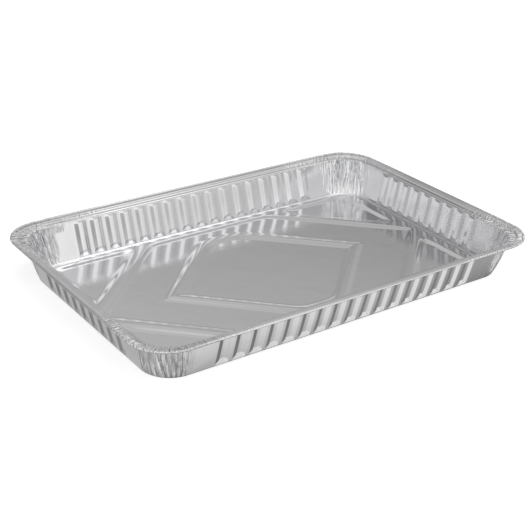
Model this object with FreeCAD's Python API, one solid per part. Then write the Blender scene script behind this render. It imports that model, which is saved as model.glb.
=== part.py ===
import FreeCAD, Part
import math
import os

# Foil sheet cake pan: one blank of aluminium foil, pressed in a die and curled at the edge.
# X runs along the long walls, Y along the short ones and Z is up. The origin lies under the
# middle of the pan, on the surface that it stands on. Every size is in millimetres.

Vector = FreeCAD.Vector
SQRT2 = math.sqrt(2.0)
MARGIN = 0.3  # how far a pressing tool starts outside the face that it presses

# Overall
rim_length = 324.0  # over the rolled edge
rim_width = 222.0
rim_corner = 28.5  # corner radius of the rolled edge
height = 31.0
foot_length = 295.0  # where the plane of each wall meets the surface below
foot_width = 188.5
foot_corner = 22.0
skin = 0.4  # wall as modelled; the foil itself is about 0.09 thick

# Rim: a narrow ledge, a short riser, a flat flange and the rolled edge
throat_corner = 24.0  # corner radius of the walls where they meet the ledge
ledge_width = 3.4  # along the straight sides
ledge_drop = 2.4  # top of the rolled edge down to the ledge
flange_width = 3.6
flange_drop = 0.4
riser_lean = 0.2
bead_diameter = 1.8
bead_flats = 8  # the roll is drawn with this many flats

# Walls: pressed flutes, with a plain panel at each end of a wall
flute_pitch = 12.7
flute_width = 9.7  # across the mouth, on the outside of the wall
flute_panel = 3.4  # across its flat bottom
flute_depth = 1.0
flute_start = 1.6  # height of its lower end
flute_end_gap = 1.0  # its upper end to the ledge
flute_low_ramp = 4.0
flute_high_ramp = 1.3
plain_panel = 14.0  # about this much of a wall stays plain at each end

# Corners: the foil is gathered into upright pleats
pleat_count = 10
pleat_depth = 1.9  # at the ledge; the pleats grow from nothing at the foot

# Floor: a heel to stand on, a raised frame, four corner pads and a diamond rib
heel_bevel = 1.0
heel_flat = 1.6
heel_slope = 4.0
frame_height = 2.2
pad_height = 1.0
border_x = 15.0  # plane of a short wall to the edges of the pads
border_y = 11.9  # plane of a long wall to the edges of the pads
corner_cut = 99.2  # from a corner, along either side, to the middle of a diagonal rib
corner_rib_width = 9.2  # between the middles of its two slopes
diamond_rib_width = 7.4
rib_slope = 4.0
diamond_reach = 80.3  # centre of the pan to a tip of the diamond rib, along X
diamond_half_width = 65.3  # centre of the pan to a blunt end of the diamond rib, along Y
relief_rounding = 5.0

# Derived sizes
ledge_top = height - ledge_drop
riser_foot = bead_diameter + flange_width + riser_lean
rim_band = riser_foot + ledge_width
lean_x = (rim_length - 2 * rim_band - foot_length) / 2 / ledge_top
lean_y = (rim_width - 2 * rim_band - foot_width) / 2 / ledge_top


def flat_faces(a, b, c, d):
    """One face on four corners that lie in a plane, or else two triangles."""
    twist = (b - a).cross(d - a).dot(c - a)
    loops = [[a, b, c, d]] if abs(twist) < 1e-9 else [[a, b, c], [a, c, d]]
    return [Part.Face(Part.makePolygon(loop + loop[:1])) for loop in loops]


def body_between(rings):
    """Solid with flat faces through a stack of rings, whose points run in step."""
    faces = [Part.Face(Part.makePolygon(ring + ring[:1])) for ring in (rings[0], rings[-1])]
    for lower, upper in zip(rings, rings[1:]):
        for i in range(len(lower)):
            faces += flat_faces(lower[i - 1], lower[i], upper[i], upper[i - 1])
    body = Part.makeSolid(Part.makeShell(faces))
    return body if body.Volume > 0 else body.reversed()


def offset_growth(thickness, depth, run):
    """How far the top edge of a slope shifts when its face is offset by a thickness."""
    return thickness * math.tan(math.atan2(depth, run) / 2)


def wall_ring(line_height, inward, z, pleat=0.0):
    """Outline of the walls' planes at line_height, moved inward and drawn at height z."""
    up = line_height / ledge_top
    radius = foot_corner + (throat_corner - foot_corner) * up - inward
    centre_x = foot_length / 2 + lean_x * line_height - inward - radius
    centre_y = foot_width / 2 + lean_y * line_height - inward - radius
    chords = 2 * pleat_count
    points = []
    for quarter, (side_x, side_y) in enumerate([(1, 1), (-1, 1), (-1, -1), (1, -1)]):
        for step in range(chords + 1):
            angle = math.radians(90 * (quarter + step / chords))
            fold = 0.0 if step in (0, chords) else (0.5 - step % 2) * pleat
            reach = radius + fold
            x = side_x * centre_x + reach * math.cos(angle)
            y = side_y * centre_y + reach * math.sin(angle)
            points.append(Vector(x, y, z))
    return points


def wall_body(inward):
    """Everything within the walls: their outer face at 0 inward, their inner face at a skin."""
    rings = [
        wall_ring(inward, inward + heel_bevel, inward),
        wall_ring(inward + heel_bevel, inward, inward + heel_bevel),
        wall_ring(ledge_top, inward, ledge_top, pleat_depth),
    ]
    return body_between(rings)


def flute_tool(origin, along, up, press, length, lift):
    """Tapered block that presses one flute, and ends lift above its floor."""
    flank = (flute_width - flute_panel) / 2
    grow_side = offset_growth(lift, flute_depth, flank)
    grow_low = offset_growth(lift, flute_depth, flute_low_ramp)
    grow_high = offset_growth(lift, flute_depth, flute_high_ramp)

    def section(depth):
        share = depth / flute_depth
        half = flute_width / 2 + grow_side - flank * share
        low = flute_low_ramp * share - grow_low
        high = length + grow_high - flute_high_ramp * share
        outline = [(half, low), (half, high), (-half, high), (-half, low)]
        return [origin + along * a + up * t + press * (depth + lift) for a, t in outline]

    return body_between([section(-MARGIN), section(flute_depth)])


def wall_flutes(outward, half_foot, lean, clear_length, lift):
    """Row of flutes about the middle of one wall, as many as its length holds."""
    count = int((clear_length - 2 * plain_panel) / flute_pitch)
    slant = math.hypot(1, lean)
    along = Vector(-outward.y, outward.x, 0)
    up = (outward * lean + Vector(0, 0, 1)) / slant
    press = (Vector(0, 0, lean) - outward) / slant
    start = outward * (half_foot + lean * flute_start) + Vector(0, 0, flute_start)
    length = (ledge_top - skin - flute_end_gap - flute_start) * slant
    places = [flute_pitch * (i - (count - 1) / 2) for i in range(count)]
    return [flute_tool(start + along * place, along, up, press, length, lift) for place in places]


def all_flutes(lift):
    """Tools for the flutes of the four walls."""
    clear_x = foot_length - 2 * foot_corner
    clear_y = foot_width - 2 * foot_corner
    tools = []
    for side in (1, -1):
        tools += wall_flutes(Vector(0, side, 0), foot_width / 2, lean_y, clear_x, lift)
        tools += wall_flutes(Vector(side, 0, 0), foot_length / 2, lean_x, clear_y, lift)
    return tools


def rounded_outline(corners, z):
    """Closed wire at height z through the corners, each rounded by an arc."""
    places = [Vector(x, y, z) for x, y in corners]
    arcs = []
    for i, here in enumerate(places):
        before = (places[i - 1] - here).normalize()
        after = (places[(i + 1) % len(places)] - here).normalize()
        half_angle = before.getAngle(after) / 2
        reach = relief_rounding / math.tan(half_angle)
        middle = (before + after).normalize() * relief_rounding * (1 / math.sin(half_angle) - 1)
        arcs.append(Part.Arc(here + before * reach, here + middle, here + after * reach))
    edges = []
    for i, arc in enumerate(arcs):
        edges.append(Part.LineSegment(arcs[i - 1].EndPoint, arc.StartPoint).toShape())
        edges.append(arc.toShape())
    return Part.Wire(edges)


def corner_pad(side_x, side_y, inset):
    """Three-cornered outline in one corner of the floor, a distance inside the pad's edge."""
    edge_x = foot_length / 2 - border_x - inset
    edge_y = foot_width / 2 - border_y - inset
    diagonal = (foot_length + foot_width) / 2 - corner_cut + (corner_rib_width / 2 + inset) * SQRT2
    places = [(diagonal - edge_y, edge_y), (edge_x, edge_y), (edge_x, diagonal - edge_x)]
    return [(side_x * x, side_y * y) for x, y in places]


def blunt_diamond(tip, flat, inset):
    """Six-cornered outline with square tips on the X axis, a distance inside the given one."""
    tip -= inset * SQRT2
    flat -= inset
    turn = tip - flat
    return [(tip, 0), (turn, flat), (-turn, flat), (-tip, 0), (-turn, -flat), (turn, -flat)]


def sunk_area(outline, lift):
    """Tool for a floor area that hangs from the frame's height down to a pad's height."""
    depth = frame_height - pad_height
    half_run = rib_slope / 2
    shift = offset_growth(lift, depth, rib_slope)
    extra = MARGIN * rib_slope / depth
    low = rounded_outline(outline(half_run + shift), pad_height + lift)
    high = rounded_outline(outline(shift - half_run - extra), frame_height + lift + MARGIN)
    return Part.makeLoft([low, high], True, True)


def raised_area(outline, lift):
    """Tool for a floor area that is pressed from a pad's height up to the frame's height."""
    depth = frame_height - pad_height
    half_run = rib_slope / 2
    shift = offset_growth(lift, depth, rib_slope)
    extra = MARGIN * rib_slope / depth
    low = rounded_outline(outline(-half_run - shift - extra), pad_height + lift - MARGIN)
    high = rounded_outline(outline(half_run - shift), frame_height + lift)
    return Part.makeLoft([low, high], True, True)


def floor_tool(lift):
    """Space under the floor: the frame's height within the heel, less what hangs lower."""
    heel = heel_bevel + heel_flat - offset_growth(lift, frame_height, heel_slope)
    extra = MARGIN * heel_slope / frame_height
    low = wall_ring(0.0, heel - extra, lift - MARGIN)
    high = wall_ring(0.0, heel + heel_slope, lift + frame_height)
    space = body_between([low, high])

    centre_tip = (foot_length + foot_width) / 2 - corner_cut - corner_rib_width / 2 * SQRT2
    centre_flat = foot_width / 2 - border_y
    half_rib = diamond_rib_width / 2
    centre = sunk_area(lambda inset: blunt_diamond(centre_tip, centre_flat, inset), lift)
    rib = raised_area(lambda inset: blunt_diamond(diamond_reach, diamond_half_width, inset - half_rib), lift)
    middle = sunk_area(lambda inset: blunt_diamond(diamond_reach, diamond_half_width, inset + half_rib), lift)
    sunk = [centre.cut(rib.cut(middle))]
    for side_x in (1, -1):
        for side_y in (1, -1):
            sunk.append(sunk_area(lambda inset: corner_pad(side_x, side_y, inset), lift))
    return space.cut(sunk)


def rim_path():
    """Closed path along the outer edge of the rim, at its top, from the middle of a long side."""
    straight_x = rim_length / 2 - rim_corner
    straight_y = rim_width / 2 - rim_corner
    bulge = rim_corner / SQRT2
    edges = []
    here = Vector(0, -rim_width / 2, height)
    for side_x, side_y in [(1, -1), (1, 1), (-1, 1), (-1, -1)]:
        on_long = Vector(side_x * straight_x, side_y * rim_width / 2, height)
        on_short = Vector(side_x * rim_length / 2, side_y * straight_y, height)
        middle = Vector(side_x * (straight_x + bulge), side_y * (straight_y + bulge), height)
        start, end = (on_long, on_short) if side_x * side_y < 0 else (on_short, on_long)
        edges.append(Part.LineSegment(here, start).toShape())
        edges.append(Part.Arc(start, middle, end).toShape())
        here = end
    edges.append(Part.LineSegment(here, edges[0].Vertexes[0].Point).toShape())
    return Part.Wire(edges)


def rim_ring():
    """Ledge, riser and flange as one bent strip, and the rolled edge, carried round the pan."""
    flange_top = height - flange_drop
    riser_head = bead_diameter + flange_width
    bead_radius = bead_diameter / 2
    corner_gain = max(0.0, throat_corner - rim_corner + rim_band) * (SQRT2 - 1)
    ledge_root = rim_band + corner_gain + pleat_depth + 2 * skin
    strip = [
        (ledge_root, ledge_top),
        (riser_foot, ledge_top),
        (riser_head, flange_top),
        (bead_radius, flange_top),
        (bead_radius, flange_top - skin),
        (riser_head - skin, flange_top - skin),
        (riser_foot - skin, ledge_top - skin),
        (ledge_root, ledge_top - skin),
    ]
    turns = [2 * math.pi * (i + 0.5) / bead_flats for i in range(bead_flats)]
    reach = bead_radius / math.cos(math.pi / bead_flats)
    roll = [(bead_radius + reach * math.cos(t), height - bead_radius + reach * math.sin(t)) for t in turns]

    path = rim_path()
    pieces = []
    for profile in (strip, roll):
        points = [Vector(0, inset - rim_width / 2, z) for inset, z in profile]
        pieces.append(path.makePipeShell([Part.makePolygon(points + points[:1])], True, True))
    return pieces[0].fuse(pieces[1])


def foil_pan():
    """The pressed pan: its outer body and rim, less its inner body."""
    outside = wall_body(0.0).cut(all_flutes(0.0) + [floor_tool(0.0)])
    inside = wall_body(skin).cut(all_flutes(skin) + [floor_tool(skin)])
    return outside.fuse(rim_ring()).cut(inside).removeSplitter()


pan = foil_pan()
os.makedirs("parts", exist_ok=True)
pan.exportStep("parts/cake_pan.step")
print("solids", len(pan.Solids), "valid", pan.isValid(), "faces", len(pan.Faces), "mm3", round(pan.Volume))
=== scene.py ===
import bmesh
import bpy
import numpy as np
from mathutils import Matrix


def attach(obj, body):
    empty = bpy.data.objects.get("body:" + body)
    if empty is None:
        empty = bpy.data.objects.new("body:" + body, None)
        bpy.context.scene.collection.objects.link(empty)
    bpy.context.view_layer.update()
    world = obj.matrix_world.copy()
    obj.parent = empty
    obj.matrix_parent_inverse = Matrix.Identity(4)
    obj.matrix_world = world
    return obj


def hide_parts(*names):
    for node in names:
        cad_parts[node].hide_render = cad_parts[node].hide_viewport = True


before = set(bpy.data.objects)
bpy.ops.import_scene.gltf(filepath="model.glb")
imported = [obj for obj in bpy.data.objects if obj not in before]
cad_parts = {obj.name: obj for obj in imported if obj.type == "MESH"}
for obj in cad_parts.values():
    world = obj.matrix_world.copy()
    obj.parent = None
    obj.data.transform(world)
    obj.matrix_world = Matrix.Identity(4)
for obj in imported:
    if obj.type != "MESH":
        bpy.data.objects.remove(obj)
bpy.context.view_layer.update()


# Walls, pleated corners and rim: the outer part of the foil blank, which the die draws upwards
# with a row of flutes pressed into each wall, gathers into pleats at the corners, and rolls
# under itself at the edge. Bright aluminium foil, 0.4 mm thick as drawn.

MM = 0.001
SKIN = 0.4
FOOT = (147.2, 93.6, 22.0)  # half length, half width and corner radius at the foot
THROAT = (153.0, 102.0, 24.0)  # the same where the walls meet the ledge
RIM = (162.0, 111.0, 28.5)  # the same over the rolled edge
CORNER_BEND = (134.0, 83.0)  # length and width at which the corners' bends begin
HEIGHT = 31.0
BEAD_RADIUS = 0.9
LEDGE_TOP = 28.6
LEDGE_START = 5.6  # from the rim in to the ledge's outer end, at the riser
LEDGE_WIDTH = 3.4
THROAT_INSET = 9.0  # from the rim in to the throat
FRAME_HEIGHT = 2.2  # underside of the raised frame round the floor
HEEL_RUN = 2.6  # bevel and flat of the heel, measured in from the wall
HEEL_SLOPE = 4.0
HEEL_CURVE = 0.5  # how far the walls' lowest part is drawn in at the foot
HEEL_CURVE_TOP = 18.0
FLOOR_JOIN = 7.4  # where this piece meets the floor, measured in from the wall
FLUTES_LONG, FLUTES_SHORT = 17, 9  # in each wall
FLUTE_PITCH = 12.7
FLUTE_HALF_WIDTH = 4.85
FLUTE_FLANK = 3.15  # width of each sloping side
FLUTE_START = 1.6
FLUTE_TOP = 27.2
FLUTE_FOOT_RAMP, FLUTE_TOP_RAMP = 4.0, 1.3  # lengths of a flute's ends up the wall
FLUTE_DEPTH = 1.0
FLUTE_FOLD = 0.02  # softness of its folds, as a share of a ramp
WALL_LEAN = 1.03  # length up the wall for each mm of height
PLEATS = 10  # in each corner
PLEAT_DEPTH = 1.9
PLEAT_SHARE_WALL, PLEAT_SHARE_LEDGE = 0.5, 0.25  # of that depth
PLEATS_OPEN = 14.0  # height at which the pleats reach their full share
FINE_PLEATS = 2.6  # finer folds in each pleat
GROOVE_START, GROOVE_SPAN, GROOVE_DEPTH = -0.65, 0.35, 0.8  # at the inner folds, on their -1 to 1
RUFFLE_DEPTH = 0.45  # unevenness of the rolled edge and ledge round the corners
RUFFLE_REACH = 12.0  # how far past the corners' bends it goes
RUFFLE_START, RUFFLE_RISE = 27.0, 1.5  # height where it starts, and over which it grows
RUFFLE_DOWN = 0.7  # share of the ruffles by which the edge also dips
CRISP_FOLD = 65.0  # degrees; sharper folds than this stay crisp
PANEL_COLUMNS, CORNER_COLUMNS = 9, 108  # of points across a plain panel and round a corner
NO_FLUTE = 99.0  # distance given to columns that no flute is near


def soft_least(values, softness):
    """Smallest of several arrays with rounded changeovers: -s log(sum of exp(-v / s))."""
    stack = np.stack(np.broadcast_arrays(*values))
    least = stack.min(axis=0)
    return least - softness * np.log(np.exp((least - stack) / softness).sum(axis=0))


def soft_ramp(x, softness):
    """Ramp from 0 to 1 between x = 0 and x = 1, with both of its folds rounded."""
    rise = softness * np.logaddexp(0.0, x / softness)
    return rise - softness * np.logaddexp(0.0, (x - 1.0) / softness)


def wave_noise(u, v, seed, count=7):
    """Smooth noise about 0: a sum of sine waves of mixed directions and wavelengths."""
    rng = np.random.default_rng(seed)
    total = np.zeros(np.broadcast(u, v).shape)
    for _ in range(count):
        across, along, phase = rng.uniform(0.5, 1.6), rng.uniform(-1, 1), rng.uniform(0, 6.28)
        total = total + np.sin(across * u + along * v + phase)
    return total / np.sqrt(count / 2)


def wall_columns(flutes):
    """Places along one wall: 11 across each flute and some over each plain panel beside them.

    The first row is the place that a column keeps; the second is the share, from -1 to 1, by
    which it follows the corner instead; the third is its distance from the nearest flute."""
    across = np.array([-5.0, -4.7, -3.3, -1.85, -1.55, 0.0, 1.55, 1.85, 3.3, 4.7, 5.0])
    centres = FLUTE_PITCH * (np.arange(flutes) - (flutes - 1) / 2)
    fixed = (centres[:, None] + across).ravel()
    share = np.linspace(0, 1, PANEL_COLUMNS + 1)[1:]
    panel = np.ones(PANEL_COLUMNS)
    place = np.concatenate([panel * fixed[0], fixed, panel * fixed[-1]])
    follow = np.concatenate([-share[::-1], np.zeros(fixed.size), share])
    off = np.abs(fixed[:, None] - centres).min(axis=1)
    return place, follow, np.concatenate([panel * NO_FLUTE, off, panel * NO_FLUTE])


def perimeter():
    """Columns round the pan, anticlockwise from the +X end of the +Y wall.

    A column stands at (ax (hx - R) + bx + R nx, ay (hy - R) + by + R ny) on an outline of half
    sizes hx, hy and corner radius R. Walls and corners follow each other four times. The rows
    are ax, ay, bx, by, nx, ny, the distance from the nearest flute, the turn round the corner
    from 0 to 1 (-1 on a wall), and the number of the wall or corner."""
    walls = [(0, 1, FLUTES_LONG), (-1, 0, FLUTES_SHORT),
             (0, -1, FLUTES_LONG), (1, 0, FLUTES_SHORT)]
    parts = []
    for index, (nx, ny, flutes) in enumerate(walls):
        place, follow, off = wall_columns(flutes)
        kept = place * (1 - np.abs(follow))
        one = np.ones(place.size)
        parts.append([nx - ny * follow, ny + nx * follow, -ny * kept, nx * kept,
                      nx * one, ny * one, off, -one, index * one])
        turn = np.linspace(0, 1, CORNER_COLUMNS + 2)[1:-1]
        angle = (index + 1 + turn) * np.pi / 2
        one = np.ones(turn.size)
        side_x = -1 if index in (0, 1) else 1
        side_y = 1 if index in (0, 3) else -1
        parts.append([side_x * one, side_y * one, 0 * one, 0 * one,
                      np.cos(angle), np.sin(angle), NO_FLUTE * one, turn, index * one])
    return np.concatenate([np.array(part) for part in parts], axis=1)


def wall_outline(z):
    """Half length, half width and corner radius of the walls' outer face at a height.

    The sizes change evenly with height, less a curve that draws the lowest part in to the heel."""
    drawn_in = HEEL_CURVE * max(1 - z / HEEL_CURVE_TOP, 0) ** 2
    return [low + (high - low) * z / LEDGE_TOP - drawn_in for low, high in zip(FOOT, THROAT)]


def foil_section():
    """Closed cross-section of the foil, from under the floor's frame over the rim and back.

    Each row holds an outline (half length, half width, corner radius), its height, the share
    of the pleats' depth there and whether the flutes reach it."""
    rows = []

    def add(outline, inward, z, pleat=0.0, flute=0.0):
        rows.append([size - inward for size in outline] + [z, pleat, flute])

    def add_rim(inset, z):
        # Over the ledge, the corner radius changes from the rim's to the throat's.
        opening = np.clip((inset - LEDGE_START) / LEDGE_WIDTH, 0, 1)
        corner = RIM[2] + opening * (THROAT[2] - RIM[2] + THROAT_INSET)
        add((RIM[0], RIM[1], corner), inset, z, PLEAT_SHARE_LEDGE * opening)

    def add_wall(inward, heights):
        for z in heights:
            add(wall_outline(z), inward, z, PLEAT_SHARE_WALL * min(z / PLEATS_OPEN, 1), 1.0)

    heights = [1.0, 1.5, 1.75, 2.7, 3.6, 4.5, 5.3, 5.65, 7.0, 9.0, 12.0, 15.0, 18.0, 21.0, 23.5,
               25.8, 26.1, 27.05, 27.35, 27.8]
    heel = [(FRAME_HEIGHT * share, HEEL_RUN + HEEL_SLOPE * share)
            for share in (1, 0.9, 0.5, 0.1, 0)]
    heel_turn_outside = [(0.0, 2.3), (0.1, 1.5), (0.4, 0.95), (0.7, 0.65)]
    heel_turn_inside = [(0.65, 0.6), (0.22, 1.35)]
    heel_inside_shift = 0.35
    under = [(8.9, 28.15), (8.2, 28.2), (6.1, 28.2), (5.7, 28.3), (5.35, 28.6),
             (5.2, 29.5), (5.1, 30.0), (4.7, 30.2), (3.6, 30.2), (2.4, 30.2)]
    over = [(2.2, 30.58), (3.4, 30.6), (4.6, 30.6), (5.15, 30.55), (5.4, 30.3), (5.55, 29.5),
            (5.65, 28.85), (5.95, 28.62), (6.8, 28.6), (7.8, 28.6), (8.5, 28.58), (9.0, 28.4)]

    add(FOOT, FLOOR_JOIN, FRAME_HEIGHT)
    for z, inward in heel + heel_turn_outside:
        add(FOOT, inward, z)
    add_wall(0.0, heights)
    for inset, z in under:
        add_rim(inset, z)
    for turn in np.radians(np.linspace(-20, -340, 11)):
        add_rim(BEAD_RADIUS + BEAD_RADIUS * np.cos(turn),
                HEIGHT - BEAD_RADIUS + BEAD_RADIUS * np.sin(turn))
    for inset, z in over:
        add_rim(inset, z)
    add_wall(SKIN, heights[:0:-1])
    for z, inward in heel_turn_inside + heel[::-1]:
        add(FOOT, inward + heel_inside_shift, z + SKIN)
    add(FOOT, FLOOR_JOIN, FRAME_HEIGHT + SKIN)
    return np.array(rows)


def press_flutes(off, z):
    """Depth of the flutes from 0 to 1: least of the ramps in from their two sides and ends."""
    ramps = [(FLUTE_HALF_WIDTH - off) / FLUTE_FLANK,
             (z - FLUTE_START) * WALL_LEAN / FLUTE_FOOT_RAMP,
             (FLUTE_TOP - z) * WALL_LEAN / FLUTE_TOP_RAMP]
    return soft_ramp(soft_least(ramps, FLUTE_FOLD), FLUTE_FOLD)


def gather(turn, z, corner):
    """Pleats of a corner, from -1.4 (in) to 1 (out), at a turn from 0 to 1 round it.

    A zigzag of uneven depth, whose folds wander on the way up, with a narrow groove at each
    inner fold, and a finer zigzag over it. All of it fades out at the corner's two ends."""
    wander = 0.25 * wave_noise(turn * 9 + corner * 3, z * 0.15, 11)
    from_ends = np.sin(np.pi * turn)

    def zigzag(phase):
        return 2 * np.abs(2 * (phase - np.floor(phase + 0.5))) - 1

    deep = zigzag(turn * PLEATS + wander * from_ends)
    groove = np.clip((GROOVE_START - deep) / GROOVE_SPAN, 0, 1)
    fine = zigzag(turn * FINE_PLEATS * PLEATS + 2.5 * wander * from_ends + corner * 0.3)
    depth = 0.7 + 0.3 * wave_noise(turn * 14 + corner * 5, z * 0.08, 31)
    fine_depth = 0.28 + 0.12 * wave_noise(turn * 25 + corner * 2, z * 0.2, 51)
    end = np.minimum(turn, 1 - turn)
    fade = np.clip(end * 8 + 0.15 * wave_noise(turn * 3, z * 0.3, 13), 0, 1)
    fade = fade * np.clip(end * 40, 0, 1)
    return fade * np.clip(deep * depth + fine * fine_depth - GROOVE_DEPTH * groove, -1.4, 1)


def ruffles(length, size, z, reach):
    """Ruffles of the rim near the corners: the size of a noise along the edge and across it."""
    near = np.clip(1 - reach / RUFFLE_REACH, 0, 1)
    high = np.clip((z - RUFFLE_START) / RUFFLE_RISE, 0, 1)
    return RUFFLE_DEPTH * (near * high) * np.abs(wave_noise(length * 1.9, size * 0.9, 91, 9))


def crinkle_share(z, reach, outside):
    """Share of fine crinkles, from 0 to 1: full in the corners, fading along the walls.

    They reach 60 mm past the bends on the rim, 22 mm high on the walls and 9 mm below, and are
    weaker near the foot. The walls' outside has a quarter of them."""
    fade_out = np.where(z > 27.5, 60.0, np.where(z > 23, 22.0, 9.0))
    share = np.clip(1 - reach / fade_out, 0, 1) * np.clip(z / 12, 0.15, 1)
    return share * np.where(outside & (z < 28), 0.25, 1)


def add_foil_mesh(name, grid, uv, gathered, columns_close, material):
    """Mesh from a grid of points in mm, with their uv and their share of crinkles.

    The grid's rows close into a ring; so do its columns where columns_close is True."""
    rows, columns = grid.shape[:2]
    numbers = np.arange(rows * columns).reshape(rows, columns)
    i, j = np.arange(rows)[:, None], np.arange(columns - 1 + columns_close)
    down, right = (i + 1) % rows, (j + 1) % columns
    faces = [numbers[i, j], numbers[i, right], numbers[down, right], numbers[down, j]]
    face_uvs = [uv[i, j], uv[i, j + 1], uv[i + 1, j + 1], uv[i + 1, j]]
    mesh = bpy.data.meshes.new(name)
    mesh.from_pydata(grid.reshape(-1, 3) * MM, [], np.stack(faces, -1).reshape(-1, 4))
    mesh.uv_layers.new(name="foil").uv.foreach_set("vector", np.stack(face_uvs, -2).ravel())
    crinkles = mesh.attributes.new("gathered", "FLOAT", "POINT")
    crinkles.data.foreach_set("value", gathered.ravel())
    # The floor's top and underside share their end columns, so points at one place are joined.
    weld = bmesh.new()
    weld.from_mesh(mesh)
    bmesh.ops.remove_doubles(weld, verts=weld.verts, dist=1e-7)
    weld.to_mesh(mesh)
    weld.free()
    mesh.polygons.foreach_set("use_smooth", np.ones(len(mesh.polygons), bool))
    mesh.set_sharp_from_angle(angle=np.radians(CRISP_FOLD))
    mesh.materials.append(material)
    obj = bpy.data.objects.new(name, mesh)
    bpy.context.collection.objects.link(obj)
    flats = obj.modifiers.new("crisp flats", "WEIGHTED_NORMAL")
    flats.keep_sharp = True
    flats.weight = 80
    return obj


def foil_finish():
    """Rolled aluminium foil: bright, with the mill's fine grain and dents, and dense crinkles
    where the drawing gathers it. The crinkles stretch up the profile and fade with "gathered"."""
    material = bpy.data.materials.new("bright rolled foil")
    material.use_nodes = True
    nodes, links = material.node_tree.nodes, material.node_tree.links
    shader = nodes["Principled BSDF"]
    shader.inputs["Base Color"].default_value = (0.83, 0.83, 0.84, 1)
    shader.inputs["Metallic"].default_value = 1.0
    shader.inputs["Roughness"].default_value = 0.1
    place = nodes.new("ShaderNodeTexCoord")
    gathered = nodes.new("ShaderNodeAttribute")
    gathered.attribute_name = "gathered"

    def noise(source, scale, size):
        mapping = nodes.new("ShaderNodeMapping")
        mapping.inputs["Scale"].default_value = scale
        links.new(place.outputs[source], mapping.inputs["Vector"])
        texture = nodes.new("ShaderNodeTexNoise")
        texture.inputs["Scale"].default_value = size
        texture.inputs["Detail"].default_value = 2.0
        links.new(mapping.outputs["Vector"], texture.inputs["Vector"])
        return texture.outputs["Fac"]

    def bump(height, strength, distance, before=None):
        node = nodes.new("ShaderNodeBump")
        node.inputs["Strength"].default_value = strength
        node.inputs["Distance"].default_value = distance
        links.new(height, node.inputs["Height"])
        if before is not None:
            links.new(before.outputs["Normal"], node.inputs["Normal"])
        return node

    dents = bump(noise("Object", (1, 1, 1), 45.0), 0.25, 0.0006)
    grain = bump(noise("Object", (1, 6, 1), 700.0), 0.06, 0.0002, dents)
    crinkle = bump(noise("UV", (620, 60, 1), 1.0), 1.0, 0.0024, grain)
    links.new(gathered.outputs["Fac"], crinkle.inputs["Strength"])
    links.new(crinkle.outputs["Normal"], shader.inputs["Normal"])
    return material


section = foil_section()
size_x, size_y, radius, level, pleat, fluted = section.T[:, :, None]
ax, ay, bx, by, nx, ny, off, turn, wall = perimeter()

# Lengths round the rim's outline, and each column's distance from the nearest corner's bend.
edge_x = ax * (RIM[0] - RIM[2]) + bx + RIM[2] * nx
edge_y = ay * (RIM[1] - RIM[2]) + by + RIM[2] * ny
step = np.hypot(np.diff(edge_x, append=edge_x[0]), np.diff(edge_y, append=edge_y[0]))
length_round = np.concatenate([[0], np.cumsum(step)])
reach = np.hypot(np.clip(CORNER_BEND[0] - np.abs(edge_x), 0, None),
                 np.clip(CORNER_BEND[1] - np.abs(edge_y), 0, None))

pressed = FLUTE_DEPTH * fluted * press_flutes(off, level)
folded = PLEAT_DEPTH * pleat * gather(np.clip(turn, 0, 1), level, wall)
ruffle = ruffles(length_round[:-1], size_x, level, reach)
shift = folded - pressed - ruffle
walls_x = ax * (size_x - radius) + bx + radius * nx + nx * shift
walls_y = ay * (size_y - radius) + by + radius * ny + ny * shift
walls_points = np.stack([walls_x, walls_y, level - RUFFLE_DOWN * ruffle], -1)

profile = np.stack([section[:, 0], section[:, 3]], -1)
length_up = np.concatenate([[0], np.cumsum(np.hypot(*(np.roll(profile, -1, 0) - profile).T))])
walls_uv = np.stack(np.broadcast_arrays(length_round * MM, (length_up * MM)[:, None]), -1)
outside = (np.arange(level.size) < level.size / 2)[:, None]
walls_gathered = crinkle_share(level, reach, outside)

foil = foil_finish()
walls_piece = add_foil_mesh("walls_and_rim", walls_points, walls_uv, walls_gathered, True, foil)
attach(walls_piece, "root")
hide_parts("cake_pan")


# Floor: the middle of the same foil blank, pressed flat between the dies with a raised frame,
# four sunk corner pads, a sunk panel and a diamond-shaped rib that stiffen it. The middle of
# the diamond is left bare.

PAD_HEIGHT = 1.0
RELIEF_SLOPE = 4.0
RELIEF_FOLD = 0.06  # softness of the slopes' folds, as a share of a slope
SUNK_WIDTH = 82.35  # half width over the pads and the panel
PAD_LENGTH = 132.5  # half length over the pads
PAD_SLANT = 149.1  # length plus width along a pad's slanted side
PANEL_SLANT = 136.0  # the same along the panel's slanted sides
RIB_OUTSIDE = (69.0, 85.5)  # half width, and length plus width along the slanted sides
RIB_INSIDE = (61.6, 75.1)
PAD_ROUNDING, RIB_ROUNDING = 3.0, 2.2
FLOOR_LAP = 0.02  # overlap with the walls' piece
FLOOR_ROWS, FLOOR_COLUMNS = 157, 241
BUCKLE_HEIGHT = 0.05
BUCKLE_FADE = 15.0  # the buckles fade out over this width at the floor's edge


def soft_most(softness, *values):
    """Largest of several arrays with rounded changeovers."""
    return -soft_least([-value for value in values], softness)


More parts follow.
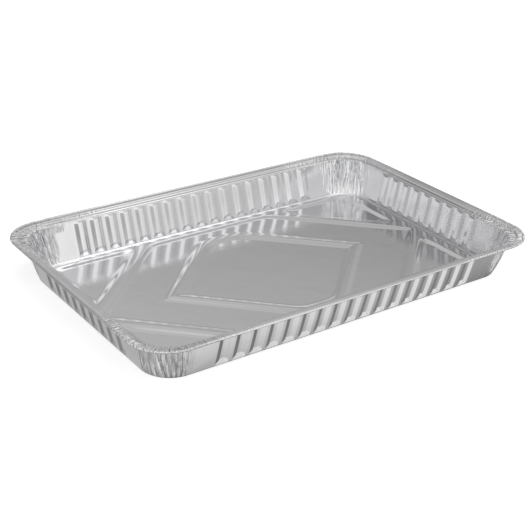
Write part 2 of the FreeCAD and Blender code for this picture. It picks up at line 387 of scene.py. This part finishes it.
def floor_relief(x, y):
    """Underside height: the frame, less the pads and panel, plus the diamond rib.

    Each outline is a distance that is 0 on the middle of its slope and grows outwards."""
    x, y = np.abs(x), np.abs(y)

    def inside(half_width, slant):
        return soft_most(RIB_ROUNDING, y - half_width, (x + y - slant) / np.sqrt(2))

    corner_pad = soft_most(PAD_ROUNDING, y - SUNK_WIDTH, x - PAD_LENGTH,
                           (PAD_SLANT - x - y) / np.sqrt(2))
    outlines = [corner_pad, inside(SUNK_WIDTH, PANEL_SLANT), inside(*RIB_OUTSIDE),
                inside(*RIB_INSIDE)]
    pad, panel, rib, middle = [soft_ramp(0.5 - edge / RELIEF_SLOPE, RELIEF_FOLD)
                              for edge in outlines]
    return FRAME_HEIGHT - (FRAME_HEIGHT - PAD_HEIGHT) * (pad + panel - rib + middle)


half_x, half_y, floor_radius = [size - FLOOR_JOIN + FLOOR_LAP for size in FOOT]
row_y = np.linspace(-half_y, half_y, FLOOR_ROWS)[:, None]
overrun = np.clip(np.abs(row_y) - (half_y - floor_radius), 0, None)
row_half = half_x - floor_radius + np.sqrt(np.clip(floor_radius**2 - overrun**2, 0, None))
floor_x = np.concatenate([[-1], np.linspace(-1, 1, FLOOR_COLUMNS), [1]]) * row_half
floor_y = row_y + 0 * floor_x
from_end = np.clip((half_x - np.abs(floor_x)) / BUCKLE_FADE, 0, 1)
from_side = np.clip((half_y - np.abs(floor_y)) / BUCKLE_FADE, 0, 1)
buckle = BUCKLE_HEIGHT * wave_noise(floor_x * 0.05, floor_y * 0.07, 71) * (from_end * from_side)
underside = floor_relief(floor_x, floor_y) + buckle
thickness = np.full(underside.shape, SKIN)
# The end columns close the sheet at the middle of its thickness.
underside[:, [0, -1]] += SKIN / 2
thickness[:, [0, -1]] = 0
both_x, both_y = np.concatenate([floor_x, floor_x[::-1]]), np.concatenate([floor_y, floor_y[::-1]])
both_z = np.concatenate([underside + thickness, underside[::-1]])
floor_points = np.stack([both_x, both_y, both_z], -1)
floor_uv = np.stack([both_x, both_y], -1) * MM
floor_uv = np.concatenate([floor_uv, floor_uv[:1]])
floor_piece = add_foil_mesh("floor", floor_points, floor_uv, 0 * both_x, False, foil)
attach(floor_piece, "root")
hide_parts("cake_pan")


# Studio: a plain pale table that keeps the pan's soft shadow, in a round tent of white cloth lit
# softly from outside, with brighter and darker cloths as foil needs. Below the table the tent
# goes on, and the foil mirrors it instead of the table top.

TABLE_SIZE = 6.0
TENT_RADIUS = 2.8
TENT_STEP = 5.0  # degrees between the tent's points
# Brightness of the cloth. Each row is at one of these heights in degrees, and runs round from
# 15 degrees left of +X in steps of 30.
TENT_HEIGHTS = [-75, -52.5, -37.5, -22.5, -7.5, 1.5, 5.5, 11, 18, 27, 38.5, 52.5, 67.5, 90]
TENT_LEVELS = [
    [0.06, 0.06, 0.06, 0.06, 0.06, 0.06, 0.06, 0.06, 0.06, 0.06, 0.06, 0.06],
    [0.25, 0.50, 0.60, 0.58, 0.25, 0.50, 1.14, 0.85, 0.78, 0.90, 0.85, 0.16],
    [0.30, 0.45, 0.80, 0.48, 0.22, 0.60, 0.92, 0.54, 0.50, 0.70, 0.75, 0.16],
    [0.35, 0.35, 0.40, 0.48, 0.35, 1.12, 0.81, 0.34, 0.07, 1.00, 1.30, 0.44],
    [0.24, 0.15, 0.00, 0.40, 0.42, 0.88, 0.78, 0.27, 0.19, 0.81, 1.22, 0.50],
    [0.34, 0.22, 0.28, 0.19, 0.15, 0.27, 0.58, 0.51, 0.40, 1.74, 0.12, 0.44],
    [0.54, 0.42, 0.44, 0.20, 0.10, 0.38, 1.21, 0.94, 0.15, 1.02, 0.30, 1.15],
    [0.72, 0.50, 0.75, 0.56, 0.57, 1.02, 1.40, 1.11, 0.50, 1.11, 0.32, 1.20],
    [0.60, 0.26, 0.36, 0.20, 0.37, 0.46, 0.82, 0.70, 0.80, 1.69, 0.40, 0.90],
    [0.60, 0.42, 0.50, 0.20, 0.48, 0.56, 0.69, 0.85, 0.93, 0.80, 0.80, 0.73],
    [0.43, 0.54, 0.64, 0.20, 0.43, 0.40, 1.02, 0.72, 1.14, 1.00, 0.50, 0.54],
    [0.74, 0.49, 0.52, 0.20, 0.40, 0.64, 1.08, 0.93, 1.00, 1.10, 0.55, 0.50],
    [1.80, 0.24, 0.86, 0.86, 0.56, 0.56, 0.85, 0.85, 1.20, 0.90, 0.90, 2.20],
    [0.90] * 12,
]


def tent_brightness(turns, heights):
    """Brightness at turns and heights in degrees, mixed evenly between the levels both ways."""
    level_turns = 15 + 30 * np.arange(-1, 13)
    levels = np.array(TENT_LEVELS)
    levels = np.concatenate([levels[:, -1:], levels, levels[:, :1]], axis=1)
    around = np.stack([np.interp(turns, level_turns, row) for row in levels])
    return np.stack([np.interp(heights, TENT_HEIGHTS, column) for column in around.T], 1)


def add_stage_mesh(name, points, faces, material):
    """Mesh of the studio itself, which isn't part of the pan."""
    mesh = bpy.data.meshes.new(name)
    mesh.from_pydata(points, [], faces)
    mesh.materials.append(material)
    obj = bpy.data.objects.new(name, mesh)
    bpy.context.collection.objects.link(obj)
    return obj


table_paint = bpy.data.materials.new("pale table")
table_paint.use_nodes = True
nodes, links = table_paint.node_tree.nodes, table_paint.node_tree.links
shader = nodes["Principled BSDF"]
shader.inputs["Base Color"].default_value = (0.8, 0.8, 0.8, 1)
shader.inputs["Roughness"].default_value = 1.0
shader.inputs["Specular IOR Level"].default_value = 0.0
shader.inputs["Emission Color"].default_value = (0.6, 0.6, 0.6, 1)
rays = nodes.new("ShaderNodeLightPath")
links.new(rays.outputs["Is Camera Ray"], shader.inputs["Emission Strength"])
half = TABLE_SIZE / 2
table_corners = [(-half, -half, 0), (half, -half, 0), (half, half, 0), (-half, half, 0)]
table = add_stage_mesh("table", table_corners, [(0, 1, 2, 3)], table_paint)
table.visible_glossy = False

tent_cloth = bpy.data.materials.new("lit white cloth")
tent_cloth.use_nodes = True
nodes, links = tent_cloth.node_tree.nodes, tent_cloth.node_tree.links
nodes.remove(nodes["Principled BSDF"])
glow = nodes.new("ShaderNodeEmission")
brightness = nodes.new("ShaderNodeAttribute")
brightness.attribute_name = "brightness"
links.new(brightness.outputs["Fac"], glow.inputs["Strength"])
links.new(glow.outputs["Emission"], nodes["Material Output"].inputs["Surface"])

turns = np.arange(0, 360, TENT_STEP)
heights = np.arange(-90, 91, TENT_STEP)
around, above = np.radians(turns), np.radians(heights)[:, None]
directions = [np.cos(above) * np.cos(around), np.cos(above) * np.sin(around), np.sin(above)]
tent_points = np.stack(np.broadcast_arrays(*directions), -1).reshape(-1, 3) * TENT_RADIUS
low, here = np.arange(heights.size - 1)[:, None] * turns.size, np.arange(turns.size)
high, beside = low + turns.size, (here + 1) % turns.size
tent_faces = np.stack([low + here, high + here, high + beside, low + beside], -1).reshape(-1, 4)
tent = add_stage_mesh("tent", tent_points, tent_faces, tent_cloth)
cloth_levels = tent.data.attributes.new("brightness", "FLOAT", "POINT")
cloth_levels.data.foreach_set("value", tent_brightness(turns, heights).ravel())
tent.visible_camera = False

surround = bpy.data.worlds.new("white surround")
bpy.context.scene.world = surround
surround.use_nodes = True
surround.node_tree.nodes["Background"].inputs["Color"].default_value = (1, 1, 1, 1)

camera = bpy.data.cameras.new("camera")
camera.sensor_width = 36.0
camera.lens = 78.72
camera_stand = bpy.data.objects.new("camera", camera)
bpy.context.collection.objects.link(camera_stand)
azimuth, elevation, roll = np.radians([-35.01, 25.748, 1.089])
away, leftward, raised = 0.848035, 0.003266, 0.005036  # of the camera from the pan's middle, in m
back = np.array([np.sin(azimuth) * np.cos(elevation), -np.cos(azimuth) * np.cos(elevation),
                 np.sin(elevation)])
right = np.array([np.cos(azimuth), np.sin(azimuth), 0])
up = np.cross(back, right)
stand = back * away - right * leftward + up * raised
across = right * np.cos(roll) + up * np.sin(roll)
upward = up * np.cos(roll) - right * np.sin(roll)
turned = np.eye(4)
turned[:3] = np.stack([across, upward, back, stand], 1)
camera_stand.matrix_world = Matrix(turned.tolist())
bpy.context.scene.camera = camera_stand
bpy.context.scene.view_settings.view_transform = "Standard"
